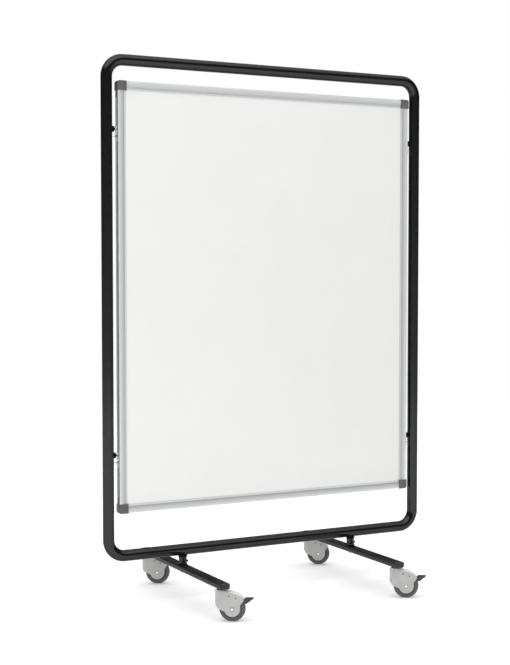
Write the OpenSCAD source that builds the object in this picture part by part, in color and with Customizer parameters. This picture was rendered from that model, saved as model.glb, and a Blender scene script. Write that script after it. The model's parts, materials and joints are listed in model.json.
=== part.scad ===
// Rolling whiteboard: a bent tube hoop on two feet with four swivel casters,
// and a framed double-sided board hung inside the hoop on four adjustable hangers.
// The origin is on the floor, in the middle of the footprint. The board faces -Y.

/* [Board] */
// Width of the board over its frame
board_w = 1200; // [900:10:1400]
// Height of the board over its frame
board_h = 1500; // [1000:10:1600]
// Depth of the board's frame from front to back
profile_d = 26; // [25:0.5:28]
// Width of the frame's visible face
profile_face = 31; // [30:0.5:36]
// Thickness of the core panel
core_t = 16; // [14:0.5:16.5]
// Thickness of each steel face sheet
sheet_t = 0.5; // [0.4:0.1:1.2]
// How far the corner caps stand proud of the frame's edges
cap_proud = 1.5; // [0.5:0.1:3]

/* [Hoop] */
// Outside diameter of the hoop tube
tube_d = 40; // [36:1:44]
// Wall thickness of the hoop tube
tube_wall = 2; // [1.5:0.1:2.5]
// Bend radius at the hoop's corners, to the tube's centre line
bend_r = 60; // [56:1:100]
// Gap between the tube and each side of the board
side_gap = 17; // [16:0.5:22]
// Gap between the tube and the top of the board
top_gap = 53; // [50:1:120]
// Gap between the tube and the bottom of the board
bottom_gap = 131; // [90:1:200]

/* [Hangers] */
// Height of the upper hangers' studs below the top of the board
hanger_top = 165; // [120:1:300]
// Height of the lower hangers' studs above the bottom of the board
hanger_bottom = 205; // [120:1:300]
// Length of the plate that slides along the frame's groove
strip_l = 56; // [50:1:80]
// Outside diameter of the spacers
spacer_d = 21; // [18:0.5:24]
// Distance of the locating pin below the stud
pin_drop = 26; // [20:1:30]

/* [Feet] */
// Distance of each foot from the middle of the hoop
foot_x = 353; // [250:1:450]
// Length of each foot over its end caps
foot_l = 690; // [680:1:800]
// Width of the foot tube
foot_w = 40; // [36:0.5:44]
// Height of the foot tube
foot_h = 20; // [18:0.5:24]
// Diameter of the posts
post_d = 28; // [24:0.5:32]
// Height of the posts between foot and hoop
post_h = 35; // [30:0.5:60]

/* [Casters] */
// Wheel diameter
wheel_d = 90; // [88:0.5:90]
// Width of the tyre
tyre_w = 21; // [18:0.5:22]
// Height of a caster from the floor to the foot's underside
caster_h = 111.5; // [111:0.5:114]
// Distance of the axle behind the swivel's centre line
trail = 37; // [36:0.5:38]
// Width of the fork over its side plates
fork_w = 36; // [35.5:0.1:37]
// Distance of each caster in front of or behind the hoop
caster_y = 312; // [300:1:325]
// Angle that all four casters are turned to at rest
turn = 32; // [0:1:45]

/* [Brake] */
// Distance from the axle to the pedal's tip
pedal_reach = 72; // [68:0.5:80]
// Radius of the pedal's rounded tip
pedal_tip_r = 8; // [6:0.5:10]
// Space between the brake shoe and the tyre
shoe_gap = 5; // [4:0.1:5.5]

/* [Hidden] */
$fn = 64;

POWDER_BLACK = "#1c1c1d";
PLASTIC_BLACK = "#242425";
CAP_GREY = "#5f5f61";
ALUMINIUM = "#c9cccb";
BOARD_WHITE = "#f1f2ee";
CORE_BROWN = "#a98f6a";
ZINC = "#cfd0cc";
FORK_GREY = "#b7b8b6";
TYRE_GREY = "#555554";
WHEEL_GREY = "#5c5c5a";
NYLON = "#e8e6dc";

slack = 0.05;
stop = 0.1;
tube_r = tube_d / 2;
wheel_r = wheel_d / 2;
foot_under_z = caster_h;
foot_top_z = foot_under_z + foot_h;
hoop_low_z = foot_top_z + post_h + tube_r;
board_low_z = hoop_low_z + tube_r + bottom_gap;
board_top_z = board_low_z + board_h;
board_mid_z = board_low_z + board_h / 2;
hoop_high_z = board_top_z + top_gap + tube_r;
hoop_x = board_w / 2 + side_gap + tube_r;

// The hoop stands a little behind the footprint's middle, because the front pedals stick out.
front_reach = caster_y + (trail + pedal_reach - pedal_tip_r) * sin(turn) + pedal_tip_r;
rear_reach = foot_l / 2;
hoop_y = (front_reach - rear_reach) / 2;

edge_r = 3;
crown_r = 67;
lip_w = 8;
lip_t = 1.8;
grip_depth = 14;
chamber_w = 8.5;
chamber_d = 20.6;
chamber_wall = 6;
groove_w = 10.6;
groove_depth = 4;
window_w = board_w - 2 * profile_face;
window_h = board_h - 2 * profile_face;
core_w = window_w + 2 * grip_depth;
core_h = window_h + 2 * grip_depth;

cap_corner_r = 9;
cap_face_proud = 2.5;
cap_overlap = 1.5;
cap_tongue_l = 25;

strip_t = 1.6;
strip_w = 20;
rib_w = 10.2;
strip_above_stud = 12;
stud_r = 3;
pin_r = 2;
spacer_body_l = 6;
spacer_cone_l = 1.2;
spacer_tip_l = 5;
spacer_tip_r = 4;
insert_r = 4.5;
insert_l = 14;
insert_bulge = 1.5;
insert_bulge_l = 5;

foot_corner_r = 6;
foot_wall = 1.5;
end_cap_l = 14;
end_cap_corner_r = 13;
end_cap_under_r = 8;
plug_l = 8;
plug_wall = 2.5;
post_wall = 3;
saddle_r = post_d / 2 + 2;
saddle_h = 6;
base_r = 17;
base_flange_h = 4;
base_ring_r = post_d / 2 + 0.5;
base_ring_z = 5.5;
base_ring_h = 2;
base_neck_r = post_d / 2 - 1.2;
base_h = 9;
spigot_r = post_d / 2 - post_wall - 0.1;
spigot_h = 14;
bolt_r = 5;
bolt_head_r = 9.8;
bolt_head_h = 6.5;
washer_r = 10.5;
washer_t = 2;
side_screw_r = 2.5;
side_screw_z = 12.5;
side_head_r = 4.5;
side_head_l = 5;

stem_thread_r = 5;
foot_insert_r = 6.5;
foot_insert_l = 14;
collar_r = 15;
collar_t = 3;
kingpin_r = 6;
thrust_r = 12;
thrust_t = 0.9;
race_r = 10;
race_t = 4.4;
kingpin_head_r = 9;
kingpin_head_t = 3;

fork_top = collar_t + thrust_t + stop;
fork_top_t = 2.5;
fork_wall = 2;
nose_r = 22;
hood_r = 55;
hood_x = -7.9;
hood_z = 1;
hood_fall = 13.6;
disc_r = 27;
back_x = 27;
back_z = 13;
tail_angle = 52;
nose_low_z = 17;
skirt_x = -26;
skirt_z = -9.5;
axle_z = wheel_r;
axle_drop = caster_h - wheel_r;
hood_high = axle_drop - fork_top;
axle_r = 4;
axle_head_r = 5.5;
axle_head_t = 1.6;
bush_r = 7;
bush_l = 2 * (fork_w / 2 - fork_wall) - 0.6;
core_hub_r = 11;
core_rim_r = 33;
core_rim_t = 4;
core_web_t = 7;
tyre_shoulder_r = 5.4;
rivet_head_r = 2.6;
rivet_head_t = 0.7;
rivet_r = 2;
pivot_x = 11.4;
pivot_z = 36.5;
dimple_x = -11.3;
dimple_z = 44;

cheek_t = 3.4;
cheek_out = fork_w / 2 - fork_wall - 0.4;
pivot_hub_r = 5.4;
pedal_root_x = 46;
pedal_tip_z = 36.8;
pedal_tip_t = 3;
shoe_t = 2;
shoe_w = 18;

// ---------- shared shapes ----------

module at_hoop() { translate([0, hoop_y, 0]) children(); }

module along_y(length) { rotate([90, 0, 0]) linear_extrude(length, center = true) children(); }

module rod_x(r, length) { rotate([0, 90, 0]) cylinder(r = r, h = length); }

module rod_y(r, length) { rotate([90, 0, 0]) cylinder(r = r, h = length, center = true); }

module rounded_rectangle(w, h, r) {
    square([w - 2 * r, h], center = true);
    square([w, h - 2 * r], center = true);
    for (x = [-1, 1], y = [-1, 1]) {
        translate([x * (w / 2 - r), y * (h / 2 - r)]) circle(r);
    }
}

// ---------- hoop ----------

module hoop_loop(r) {
    straight_x = hoop_x - bend_r;
    low = hoop_low_z + bend_r;
    high = hoop_high_z - bend_r;
    for (x = [-hoop_x, hoop_x]) translate([x, 0, low]) cylinder(r = r, h = high - low);
    for (z = [hoop_low_z, hoop_high_z]) translate([-straight_x, 0, z]) rod_x(r, 2 * straight_x);
    for (corner = [[1, high, 0], [-1, high, 90], [-1, low, 180], [1, low, 270]]) {
        translate([corner[0] * straight_x, 0, corner[1]])
            rotate([90, 0, 0])
            rotate([0, 0, corner[2]])
            rotate_extrude(angle = 90) translate([bend_r, 0]) circle(r);
    }
}

function hanger_heights() = [board_top_z - hanger_top, board_low_z + hanger_bottom];

// Puts its children at each stud, on the tube's centre line, with +X towards the board.
module at_hangers() {
    for (z = hanger_heights(), side = [0, 1]) {
        mirror([side, 0, 0]) translate([-hoop_x, 0, z]) children();
    }
}

module frame_hoop() {
    color(POWDER_BLACK) at_hoop() difference() {
        hoop_loop(tube_r);
        hoop_loop(tube_r - tube_wall);
        at_hangers() rod_x(insert_r + slack, tube_r + 1);
        at_hangers() translate([0, 0, -pin_drop]) rod_x(pin_r + slack, tube_r + 1);
    }
}

// Threaded inserts in the tube's wall. Each one's bulge sits against the inside of the wall.
module hoop_inserts() {
    bulge_r = insert_r + insert_bulge;
    inner_r = tube_r - tube_wall;
    neck = sqrt(inner_r * inner_r - bulge_r * bulge_r) - stop;
    start = neck + tube_wall - insert_l;
    color(ZINC) at_hoop() at_hangers() difference() {
        union() {
            translate([start, 0, 0]) rod_x(insert_r, insert_l);
            translate([neck - insert_bulge_l, 0, 0]) rod_x(bulge_r, insert_bulge_l);
        }
        translate([start - 1, 0, 0]) rod_x(stud_r + slack, insert_l + 2);
    }
}

// ---------- posts ----------

module coped_tube(outer, inner, low, high) {
    difference() {
        translate([0, 0, low]) cylinder(r = outer, h = high - low);
        translate([0, 0, low - 1]) cylinder(r = inner, h = high - low + 2);
        translate([0, 0, hoop_low_z]) rotate([0, 90, 0]) cylinder(r = tube_r, h = 100, center = true);
    }
}

module at_posts() {
    at_hoop() for (x = [-foot_x, foot_x]) translate([x, 0, 0]) children();
}

module post(side) {
    color(POWDER_BLACK) at_hoop() translate([side * foot_x, 0, 0]) difference() {
        coped_tube(post_d / 2, post_d / 2 - post_wall, foot_top_z + base_h, hoop_low_z);
        translate([0, 0, foot_top_z + side_screw_z]) rod_x(side_screw_r + slack, post_d);
    }
}

module post_saddles() {
    low = hoop_low_z - tube_r - saddle_h;
    color(PLASTIC_BLACK) at_posts() coped_tube(saddle_r, post_d / 2, low, hoop_low_z - tube_r / 2);
}

module post_bases() {
    color(PLASTIC_BLACK) at_posts() translate([0, 0, foot_top_z]) difference() {
        union() {
            cylinder(r = base_r, h = base_flange_h);
            cylinder(r = base_neck_r, h = base_h);
            translate([0, 0, base_ring_z]) cylinder(r = base_ring_r, h = base_ring_h);
            cylinder(r = spigot_r, h = base_h + spigot_h);
        }
        translate([0, 0, -1]) cylinder(r = bolt_r + slack, h = base_h + spigot_h + 2);
    }
}

module post_bolts() {
    seat_z = foot_under_z - washer_t;
    color(ZINC) at_posts() union() {
        translate([0, 0, seat_z - bolt_head_h]) cylinder(r = bolt_head_r, h = bolt_head_h, $fn = 6);
        translate([0, 0, seat_z - 1]) cylinder(r = bolt_r, h = foot_h + base_h + spigot_h);
    }
}

module post_washers() {
    color(ZINC) at_posts() translate([0, 0, foot_under_z - washer_t]) difference() {
        cylinder(r = washer_r, h = washer_t);
        translate([0, 0, -1]) cylinder(r = bolt_r + 0.4, h = washer_t + 2);
    }
}

module post_side_screws() {
    reach = post_d / 2 - spigot_r;
    color(PLASTIC_BLACK) at_posts() translate([spigot_r, 0, foot_top_z + side_screw_z]) {
        translate([slack, 0, 0]) rod_x(side_screw_r, reach + 1);
        translate([reach + 0.4, 0, 0]) rod_x(side_head_r, side_head_l);
    }
}

// ---------- feet ----------

module foot(side) {
    tube_l = foot_l - 2 * end_cap_l;
    bore_w = foot_w - 2 * foot_wall;
    bore_h = foot_h - 2 * foot_wall;
    color(POWDER_BLACK) at_hoop() translate([side * foot_x, 0, foot_under_z + foot_h / 2]) difference() {
        along_y(tube_l) rounded_rectangle(foot_w, foot_h, foot_corner_r);
        along_y(tube_l + 2) rounded_rectangle(bore_w, bore_h, foot_corner_r - foot_wall);
        cylinder(r = bolt_r + 0.3, h = foot_h + 2, center = true);
        for (y = [-caster_y, caster_y]) {
            translate([0, y, -foot_h / 2 - 1]) cylinder(r = foot_insert_r + slack, h = foot_h / 2);
        }
    }
}

module foot_end_caps() {
    color(PLASTIC_BLACK) at_hoop() for (x = [-foot_x, foot_x], end = [0, 1]) {
        translate([x, 0, foot_under_z + foot_h / 2]) mirror([0, end, 0])
            translate([0, foot_l / 2 - end_cap_l, 0]) end_cap();
    }
}

module end_cap() {
    mid = end_cap_corner_r;
    under = end_cap_under_r;
    intersection() {
        translate([0, end_cap_l / 2, 0])
            along_y(end_cap_l) rounded_rectangle(foot_w, foot_h, foot_corner_r);
        rotate([90, 0, 90]) linear_extrude(foot_w, center = true) {
            translate([0, -foot_h / 2]) square([end_cap_l - under, foot_h]);
            translate([0, under - foot_h / 2]) square([end_cap_l, foot_h - under]);
            translate([end_cap_l - under, under - foot_h / 2]) circle(under);
        }
        linear_extrude(foot_h, center = true) {
            translate([-foot_w / 2, 0]) square([foot_w, end_cap_l - mid]);
            translate([mid - foot_w / 2, 0]) square([foot_w - 2 * mid, end_cap_l]);
            for (x = [-1, 1]) translate([x * (foot_w / 2 - mid), end_cap_l - mid]) circle(mid);
        }
    }
    translate([0, -plug_l / 2, 0]) along_y(plug_l) difference() {
        w = foot_w - 2 * foot_wall - 0.2;
        h = foot_h - 2 * foot_wall - 0.2;
        r = foot_corner_r - foot_wall;
        rounded_rectangle(w, h, r);
        rounded_rectangle(w - 2 * plug_wall, h - 2 * plug_wall, r - plug_wall);
    }
}

module at_stems() {
    at_hoop() for (x = [-foot_x, foot_x], y = [-caster_y, caster_y]) {
        translate([x, y, foot_under_z]) children();
    }
}

module foot_inserts() {
    color(ZINC) at_stems() difference() {
        union() {
            cylinder(r = foot_insert_r, h = foot_insert_l);
            translate([0, 0, foot_wall + slack])
                cylinder(r = foot_insert_r + insert_bulge, h = insert_bulge_l);
        }
        translate([0, 0, -1]) cylinder(r = stem_thread_r + slack, h = foot_insert_l + 2);
    }
}

module caster_stems() {
    head_low = fork_top + fork_top_t + stop + race_t + kingpin_head_t;
    color(ZINC) at_stems() union() {
        translate([0, 0, -collar_t]) cylinder(r = stem_thread_r, h = collar_t + foot_insert_l - 1);
        translate([0, 0, -head_low]) cylinder(r = kingpin_r, h = head_low - collar_t);
        translate([0, 0, -head_low]) cylinder(r = kingpin_head_r, h = kingpin_head_t);
    }
}

module caster_collars() {
    color(PLASTIC_BLACK) at_stems() translate([0, 0, -collar_t]) difference() {
        cylinder(r = collar_r, h = collar_t);
        translate([0, 0, -1]) cylinder(r = stem_thread_r + slack, h = collar_t + 2);
    }
}

module thrust_washers() {
    color(NYLON) at_stems() translate([0, 0, -collar_t - thrust_t]) difference() {
        cylinder(r = thrust_r, h = thrust_t);
        translate([0, 0, -1]) cylinder(r = kingpin_r + slack, h = thrust_t + 2);
    }
}

module swivel_races() {
    color(ZINC) at_stems() translate([0, 0, -fork_top - fork_top_t - stop - race_t]) difference() {
        cylinder(r = race_r, h = race_t);
        translate([0, 0, -1]) cylinder(r = kingpin_r + slack, h = race_t + 2);
    }
}

// ---------- board ----------

// Section of the frame profile: x is the distance in from the board's edge, y is the depth.
module profile_section() {
    half = profile_d / 2;
    lip_high = core_t / 2 + lip_t;
    difference() {
        union() {
            intersection() {
                union() {
                    translate([edge_r, -half]) square([profile_face - lip_w + 1 - edge_r, profile_d]);
                    translate([0, edge_r - half]) square([edge_r + 1, profile_d - 2 * edge_r]);
                    for (s = [-1, 1]) translate([edge_r, s * (half - edge_r)]) circle(edge_r);
                }
                crown_outline(half);
            }
            translate([profile_face - lip_w, -lip_high]) square([lip_w, 2 * lip_high]);
        }
        translate([profile_face - grip_depth, -core_t / 2]) square([grip_depth + 1, core_t]);
        translate([chamber_wall, -chamber_d / 2]) square([chamber_w, chamber_d]);
        translate([-1, -groove_w / 2]) square([groove_depth + 1, groove_w]);
    }
}

// The gentle outward curve of the profile's front and rear faces.
module crown_outline(half) {
    intersection() {
        translate([edge_r, crown_r - half]) circle(crown_r, $fn = 128);
        translate([edge_r, half - crown_r]) circle(crown_r, $fn = 128);
    }
}

module side_profile(side) {
    color(ALUMINIUM) at_hoop() mirror([side > 0 ? 1 : 0, 0, 0])
        translate([-board_w / 2, 0, board_low_z + profile_face])
        linear_extrude(window_h) profile_section();
}

module end_profile(top) {
    color(ALUMINIUM) at_hoop() translate([-window_w / 2, 0, top ? board_top_z : board_low_z])
        mirror([0, 0, top ? 0 : 1]) rotate([0, 90, 0])
        linear_extrude(window_w) profile_section();
}

module face_sheet(side) {
    color(BOARD_WHITE) at_hoop() translate([0, side * (core_t + sheet_t) / 2, board_mid_z])
        cube([window_w, sheet_t, window_h], center = true);
}

module core_panel() {
    color(CORE_BROWN) at_hoop() translate([0, 0, board_mid_z])
        cube([core_w, core_t, core_h], center = true);
}

// One cap for the upper left corner: x runs in from the board's edge and z runs down from its top.
module corner_cap() {
    size = profile_face + cap_overlap + cap_proud;
    depth = profile_d + 2 * cap_face_proud;
    sleeve_d = profile_d + 2 * slack;
    sleeve_l = profile_face + cap_overlap + 1 + slack;
    pocket = profile_face - grip_depth;
    difference() {
        translate([-cap_proud, 0, cap_proud]) along_y(depth) {
            translate([0, -size]) square([size, size - cap_corner_r]);
            translate([cap_corner_r, -size]) square([size - cap_corner_r, size]);
            translate([cap_corner_r, -cap_corner_r]) circle(cap_corner_r);
        }
        translate([pocket, -core_t / 2, -profile_face - 1])
            cube([profile_face, core_t, profile_face + 1 - pocket]);
        translate([-slack, -sleeve_d / 2, -profile_face - cap_overlap - 1])
            cube([sleeve_l, sleeve_d, cap_overlap + 1]);
        translate([profile_face, -sleeve_d / 2, slack - sleeve_l])
            cube([cap_overlap + 1, sleeve_d, sleeve_l]);
    }
    cap_tongues();
    mirror([1, 0, 1]) cap_tongues();
}

// The tongues that run down inside the side profile: one in its chamber, one in its outer groove.
module cap_tongues() {
    fit = 0.1;
    low = -profile_face - cap_tongue_l;
    translate([chamber_wall + fit, fit - chamber_d / 2, low])
        cube([chamber_w - 2 * fit, chamber_d - 2 * fit, cap_tongue_l]);
    translate([0.4, fit - groove_w / 2, low])
        cube([groove_depth - 0.4 - fit, groove_w - 2 * fit, cap_tongue_l]);
}

module corner_caps() {
    color(CAP_GREY) at_hoop() for (side = [0, 1], low = [0, 1]) {
        mirror([side, 0, 0]) translate([0, 0, board_mid_z]) mirror([0, 0, low])
            translate([-board_w / 2, 0, board_h / 2]) corner_cap();
    }
}

// ---------- hangers ----------

module hanger_spacers() {
    body_end = tube_r + spacer_body_l;
    color(PLASTIC_BLACK) at_hoop() at_hangers() difference() {
        union() {
            translate([tube_r / 2, 0, 0]) rod_x(spacer_d / 2, body_end - tube_r / 2);
            translate([body_end, 0, 0]) rotate([0, 90, 0])
                cylinder(r1 = spacer_d / 2, r2 = spacer_tip_r, h = spacer_cone_l);
            translate([body_end - 1, 0, 0]) rod_x(spacer_tip_r, spacer_tip_l + 1);
        }
        cylinder(r = tube_r, h = 2 * spacer_d, center = true);
        rod_x(stud_r + 0.2, tube_r + side_gap);
    }
}

module hanger_studs() {
    start = tube_r - tube_wall - insert_l;
    color(ZINC) at_hoop() at_hangers() translate([start, 0, 0])
        rod_x(stud_r, tube_r + side_gap + groove_depth - 0.3 - start);
}

// Plates on the board's sides. A rib on the back of each one slides in the profile's outer groove.
module hanger_strips() {
    face_x = tube_r + side_gap - slack;
    low = strip_above_stud - strip_l;
    reach = groove_depth + 2 * strip_t;
    color(ZINC) at_hoop() at_hangers() translate([face_x - strip_t, 0, 0]) difference() {
        union() {
            translate([0, -strip_w / 2, low]) cube([strip_t, strip_w, strip_l]);
            translate([strip_t / 2, -rib_w / 2, low]) cube([strip_t / 2 + groove_depth - 0.4, rib_w, strip_l]);
        }
        translate([-1, 0, 0]) rod_x(stud_r + slack, reach);
        translate([-1, 0, -pin_drop]) rod_x(pin_r + slack, reach);
    }
}

module hanger_pins() {
    color(ZINC) at_hoop() at_hangers() translate([tube_r - tube_wall - 1, 0, -pin_drop])
        rod_x(pin_r, tube_wall + 1 + side_gap + groove_depth - 0.3);
}

// ---------- casters ----------

// Puts its children in a caster's own frame: the origin is the axle, +X is the way the wheel trails.
module at_axle(x_side, y_side) {
    at_hoop() translate([x_side * foot_x, y_side * caster_y, 0])
        rotate([0, 0, -turn]) translate([trail, 0, axle_z]) children();
}

// The hood's falling top line: where it meets the round back, and where it leaves the flat top.
function meet(r) = [hood_x + r * sin(hood_fall), hood_z + r * cos(hood_fall)];
function flat_end(r, top) = [meet(r)[0] - (top - meet(r)[1]) / tan(hood_fall), top];

// Side view of the fork: a hood that falls towards the back, a nose, and a disc round the axle.
module fork_side() {
    nose = -trail - nose_r;
    reach = hood_r - back_x;
    polygon([[nose, hood_high], [nose, nose_low_z], [nose + 6, 5], [nose + 15, -1], [skirt_x, skirt_z],
        [meet(hood_r)[0], 0], meet(hood_r), flat_end(hood_r, hood_high)]);
    intersection() {
        translate([hood_x, hood_z]) circle(hood_r, $fn = 128);
        polygon([[0, 0], [back_x, 0], [back_x, back_z], [hood_r, back_z + reach * tan(tail_angle)],
            [hood_r, hood_high], [meet(hood_r)[0], hood_high], [0, back_z]]);
    }
    circle(disc_r);
}

module fork_plan(inset) {
    half = fork_w / 2 - inset;
    intersection() {
        union() {
            translate([-trail, 0]) circle(nose_r - inset);
            translate([-trail, -half]) square([2 * trail + 10, 2 * half]);
        }
        translate([-trail - nose_r, -half]) square([2 * trail + nose_r + 10, 2 * half]);
    }
}

// The room inside the hood, open below and behind.
module fork_room() {
    reach = 70;
    r = hood_r - fork_wall;
    top = hood_high - fork_top_t;
    intersection() {
        along_y(fork_w - 2 * fork_wall) {
            polygon([[-trail - nose_r, top], [-trail - nose_r, 0], [meet(r)[0], 0],
                meet(r), flat_end(r, top)]);
            translate([hood_x, hood_z]) circle(r, $fn = 128);
            translate([-reach, -reach]) square([2 * reach, reach + 10]);
        }
        linear_extrude(4 * wheel_r, center = true) {
            fork_plan(fork_wall);
            translate([trail, -fork_w / 2]) square([reach, fork_w]);
        }
    }
}

module fork(x_side, y_side) {
    color(FORK_GREY) at_axle(x_side, y_side) difference() {
        intersection() {
            along_y(fork_w) fork_side();
            linear_extrude(4 * wheel_r, center = true) fork_plan(0);
        }
        fork_room();
        rod_y(axle_r + slack, fork_w + 2);
        translate([-trail, 0, 0]) cylinder(r = kingpin_r + slack, h = 2 * hood_high);
        for (spot = [[pivot_x, pivot_z], [dimple_x, dimple_z]]) {
            translate([spot[0], 0, spot[1]]) rod_y(rivet_r + slack, fork_w + 2);
        }
    }
}

// Headed rivets in both side plates. With a brake, the pivot rivets reach into the pedal's cheeks.
module rivets(x_side, y_side, brake) {
    outside = fork_w / 2;
    color(TYRE_GREY) at_axle(x_side, y_side) for (side = [0, 1]) mirror([0, side, 0]) {
        for (spot = [[pivot_x, pivot_z, brake ? cheek_t + 1 : 0], [dimple_x, dimple_z, 0]]) {
            shank = fork_wall + rivet_head_t / 2 + spot[2];
            translate([spot[0], outside + rivet_head_t / 2 - shank / 2, spot[1]]) rod_y(rivet_r, shank);
            translate([spot[0], outside + rivet_head_t / 2, spot[1]]) rod_y(rivet_head_r, rivet_head_t);
        }
    }
}

module axle(x_side, y_side) {
    color(ZINC) at_axle(x_side, y_side) union() {
        rod_y(axle_r, fork_w + 1);
        for (side = [0, 1]) mirror([0, side, 0]) translate([0, fork_w / 2, 0]) rotate([-90, 0, 0])
            cylinder(r1 = axle_head_r, r2 = axle_head_r - 1.2, h = axle_head_t);
    }
}

module tyre(x_side, y_side) {
    r = tyre_shoulder_r;
    inner = core_rim_r + slack;
    color(TYRE_GREY) at_axle(x_side, y_side) rotate([90, 0, 0]) rotate_extrude($fn = 96) {
        translate([inner, -tyre_w / 2]) square([wheel_r - r - inner, tyre_w]);
        translate([inner, r - tyre_w / 2]) square([wheel_r - inner, tyre_w - 2 * r]);
        for (y = [-1, 1]) translate([wheel_r - r, y * (tyre_w / 2 - r)]) circle(r);
    }
}

module wheel_core(x_side, y_side) {
    rim_w = tyre_w - 1;
    hub_l = bush_l - 0.4;
    web_r = core_rim_r - core_rim_t / 2;
    color(WHEEL_GREY) at_axle(x_side, y_side) rotate([90, 0, 0]) rotate_extrude($fn = 96) {
        translate([core_rim_r - core_rim_t, -rim_w / 2]) square([core_rim_t, rim_w]);
        translate([bush_r + slack, -core_web_t / 2]) square([web_r - bush_r, core_web_t]);
        translate([bush_r + slack, -hub_l / 2]) square([core_hub_r - bush_r, hub_l]);
    }
}

module bush(x_side, y_side) {
    color(ZINC) at_axle(x_side, y_side) difference() {
        rod_y(bush_r, bush_l);
        rod_y(axle_r + slack, bush_l + 2);
    }
}

// ---------- brakes ----------

module pedal_side() {
    translate([pivot_x, pivot_z]) circle(pivot_hub_r);
    polygon([[pivot_x, pivot_z + pivot_hub_r], [pivot_x, pivot_z - pivot_hub_r], [27, 22], [38, 19],
        [pedal_root_x + 2, 17.5], [pedal_reach, pedal_tip_z - pedal_tip_t], [pedal_reach, pedal_tip_z],
        [42.2, 33.3], [40.8, 29.5], [38.4, 26.4], [28, 37.5]]);
}

module pedal_plan() {
    tip_x = pedal_reach - pedal_tip_r;
    polygon([[0, -cheek_out], [pedal_root_x, -cheek_out], [tip_x, -pedal_tip_r], [tip_x, pedal_tip_r],
        [pedal_root_x, cheek_out], [0, cheek_out]]);
    translate([tip_x, 0]) circle(pedal_tip_r);
}

module pedal(x_side, y_side) {
    shoe_r = wheel_r + shoe_gap + shoe_t;
    inner_w = 2 * (cheek_out - cheek_t);
    color(PLASTIC_BLACK) at_axle(x_side, y_side) difference() {
        intersection() {
            along_y(2 * cheek_out) pedal_side();
            linear_extrude(4 * wheel_r, center = true) pedal_plan();
        }
        rod_y(shoe_r, inner_w);
        translate([pivot_x, 0, pivot_z]) rod_y(rivet_r + slack, fork_w);
    }
}

module shoe(x_side, y_side) {
    inner = wheel_r + shoe_gap;
    color(TYRE_GREY) at_axle(x_side, y_side) intersection() {
        difference() {
            rod_y(inner + shoe_t, shoe_w);
            rod_y(inner, shoe_w + 2);
        }
        rotate([0, -21, 0]) translate([0, -shoe_w, 0]) cube([2 * wheel_r, 2 * shoe_w, 10]);
    }
}

frame_hoop();
hoop_inserts();
post(-1);  // left_post
post(1);  // right_post
post_saddles();
post_bases();
post_bolts();
post_washers();
post_side_screws();
foot(-1);  // left_foot
foot(1);  // right_foot
foot_end_caps();
foot_inserts();
caster_stems();
caster_collars();
thrust_washers();
swivel_races();
face_sheet(-1);  // front_sheet
core_panel();
face_sheet(1);  // rear_sheet
end_profile(true);  // top_profile
end_profile(false);  // bottom_profile
side_profile(-1);  // left_profile
side_profile(1);  // right_profile
corner_caps();
hanger_spacers();
hanger_studs();
hanger_strips();
hanger_pins();
fork(-1, -1);  // front_left_fork
rivets(-1, -1, true);  // front_left_rivets
axle(-1, -1);  // front_left_axle
tyre(-1, -1);  // front_left_tyre
wheel_core(-1, -1);  // front_left_core
bush(-1, -1);  // front_left_bush
pedal(-1, -1);  // front_left_pedal
shoe(-1, -1);  // front_left_shoe
fork(1, -1);  // front_right_fork
rivets(1, -1, true);  // front_right_rivets
axle(1, -1);  // front_right_axle
tyre(1, -1);  // front_right_tyre
wheel_core(1, -1);  // front_right_core
bush(1, -1);  // front_right_bush
pedal(1, -1);  // front_right_pedal
shoe(1, -1);  // front_right_shoe
fork(-1, 1);  // rear_left_fork
rivets(-1, 1, false);  // rear_left_rivets
axle(-1, 1);  // rear_left_axle
tyre(-1, 1);  // rear_left_tyre
wheel_core(-1, 1);  // rear_left_core
bush(-1, 1);  // rear_left_bush
fork(1, 1);  // rear_right_fork
rivets(1, 1, false);  // rear_right_rivets
axle(1, 1);  // rear_right_axle
tyre(1, 1);  // rear_right_tyre
wheel_core(1, 1);  // rear_right_core
bush(1, 1);  // rear_right_bush
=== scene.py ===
"""Looks of the rolling whiteboard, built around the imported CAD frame.

Metres, +Z up, and the writing face looks along -Y.
"""

import json
from math import asin, atan2, cos, hypot, pi, radians, sin, sqrt, tan

import bmesh
import bpy
from mathutils import Matrix, Vector


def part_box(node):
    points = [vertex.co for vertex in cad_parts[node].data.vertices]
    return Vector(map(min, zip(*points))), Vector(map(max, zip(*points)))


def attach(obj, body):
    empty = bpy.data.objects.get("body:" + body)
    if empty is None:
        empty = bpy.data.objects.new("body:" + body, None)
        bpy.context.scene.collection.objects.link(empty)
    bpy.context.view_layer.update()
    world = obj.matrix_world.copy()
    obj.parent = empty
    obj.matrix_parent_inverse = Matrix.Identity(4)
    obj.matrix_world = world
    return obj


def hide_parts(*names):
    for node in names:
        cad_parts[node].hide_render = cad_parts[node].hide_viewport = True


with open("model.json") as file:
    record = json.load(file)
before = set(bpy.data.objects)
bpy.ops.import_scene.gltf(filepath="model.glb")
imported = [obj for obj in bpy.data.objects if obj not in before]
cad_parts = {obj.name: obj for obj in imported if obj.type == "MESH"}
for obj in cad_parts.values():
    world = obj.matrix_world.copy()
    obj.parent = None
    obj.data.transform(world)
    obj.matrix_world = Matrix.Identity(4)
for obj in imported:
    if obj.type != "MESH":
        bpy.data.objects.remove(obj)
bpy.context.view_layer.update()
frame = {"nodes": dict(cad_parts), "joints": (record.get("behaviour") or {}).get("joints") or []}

MM = 0.001
CASTERS = ["front_left", "front_right", "rear_left", "rear_right"]
BRAKED = CASTERS[:2]
# Edges that turn by more than this are creases; the others are shaded smooth.
SHARP = radians(32)


# ---------- places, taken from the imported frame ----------

def corners(node):
    """A CAD node's lowest and highest corner, and its middle."""
    low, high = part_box(node)
    return low, high, (low + high) / 2


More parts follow.
